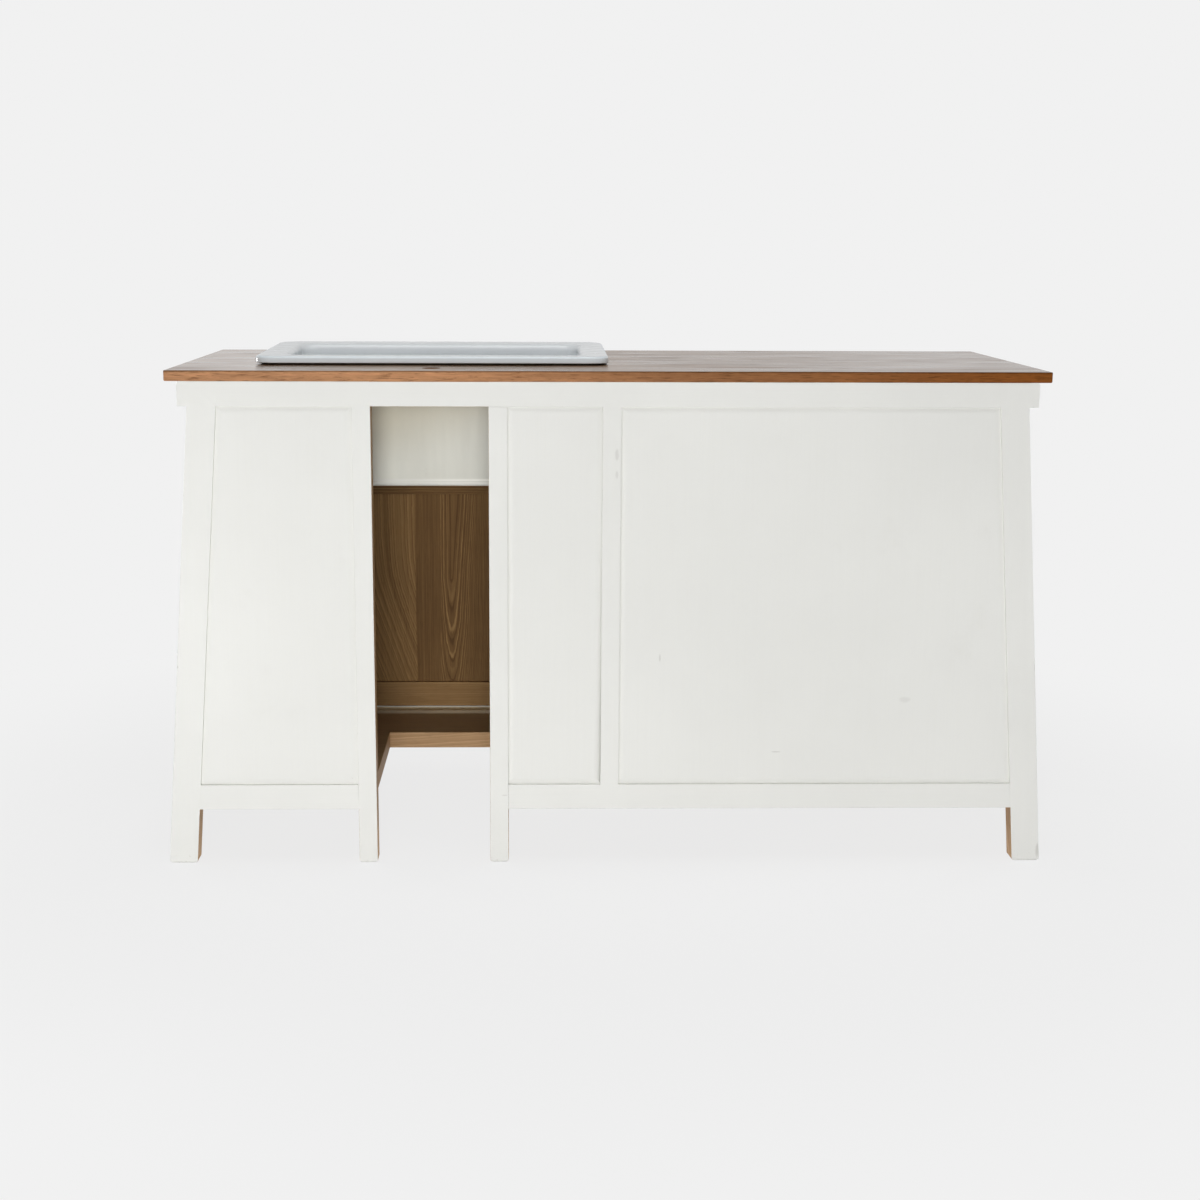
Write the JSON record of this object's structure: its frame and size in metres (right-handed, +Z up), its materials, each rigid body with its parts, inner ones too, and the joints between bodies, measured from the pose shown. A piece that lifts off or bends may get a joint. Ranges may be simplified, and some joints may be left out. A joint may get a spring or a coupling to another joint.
{
  "type": "vanity unit",
  "caption": "Free-standing vanity unit with splayed painted sides, a wooden worktop, an inset ceramic basin, an open plumbing slot in the back, sliding doors and a drawer.",
  "frame": {"origin": "on the floor under the middle of the worktop", "axes": "+Z up, the front with the doors and drawer faces -Y, the plumbing slot is in the back at +Y, +X to the right seen from the front, where the basin is"},
  "size_m": [1.5414, 0.6, 0.8889],
  "materials": {
    "white_paint": "off-white eggshell paint on wood",
    "stained_top": "red-brown stain, satin lacquer",
    "brown_wood": "brown stain, open grain",
    "raw_wood": "bare sawn wood",
    "glazed_ceramic": "gloss white glaze",
    "track_metal": "dull anodised",
    "aged_brass": "aged, satin",
    "nylon": "moulded, satin"
  },
  "bodies": {
    "carcass": {"worktop": "stained_top", "basin": "glazed_ceramic", "back_left_post": "white_paint", "back_right_post": "white_paint", "front_left_post": "white_paint", "front_right_post": "white_paint", "back_top_rail": "white_paint", "back_bottom_rail_main": "white_paint", "back_bottom_rail_sink": "white_paint", "slot_stile_inner": "white_paint", "slot_stile_outer": "white_paint", "back_middle_stile": "white_paint", "back_panel_wide": "white_paint", "back_panel_narrow": "white_paint", "back_panel_sink": "white_paint", "left_top_rail": "white_paint", "left_bottom_rail": "white_paint", "left_panel": "white_paint", "left_cornice": "white_paint", "right_top_rail": "white_paint", "right_bottom_rail": "white_paint", "right_panel": "white_paint", "right_cornice": "white_paint", "front_top_rail": "white_paint", "front_middle_rail": "white_paint", "front_bottom_rail": "white_paint", "front_muntin": "white_paint", "apron_panel": "white_paint", "floor_board": "brown_wood", "front_floor_bearer": "raw_wood", "back_floor_bearer_main": "raw_wood", "back_floor_bearer_sink": "raw_wood", "partition": "brown_wood", "head_rail": "brown_wood", "lower_track": "track_metal", "upper_track": "track_metal", "drawer_runner_left": "raw_wood", "drawer_runner_right": "raw_wood", "runner_batten": "raw_wood"},
    "sink_door": {"sink_door_meeting_stile": "white_paint", "sink_door_outer_stile": "white_paint", "sink_door_top_rail": "white_paint", "sink_door_bottom_rail": "white_paint", "sink_door_panel": "brown_wood", "sink_door_meeting_glide": "nylon", "sink_door_outer_glide": "nylon"},
    "storage_door": {"storage_door_meeting_stile": "white_paint", "storage_door_outer_stile": "white_paint", "storage_door_top_rail": "white_paint", "storage_door_bottom_rail": "white_paint", "storage_door_panel": "brown_wood", "storage_door_meeting_glide": "nylon", "storage_door_outer_glide": "nylon"},
    "drawer": {"drawer_front": "white_paint", "drawer_left_side": "brown_wood", "drawer_right_side": "brown_wood", "drawer_back": "brown_wood", "drawer_bottom": "brown_wood", "drawer_knob_left": "aged_brass", "drawer_knob_right": "aged_brass"}
  },
  "joints": [
    {"name": "sink_door_slide", "type": "slide", "parent": "carcass", "child": "sink_door", "axis": [1, 0, 0], "range_m": [-0.64, 0]},
    {"name": "storage_door_slide", "type": "slide", "parent": "carcass", "child": "storage_door", "axis": [1, 0, 0], "range_m": [0, 0.64]},
    {"name": "drawer_slide", "type": "slide", "parent": "carcass", "child": "drawer", "axis": [0, -1, 0], "range_m": [0, 0.28]}
  ]
}
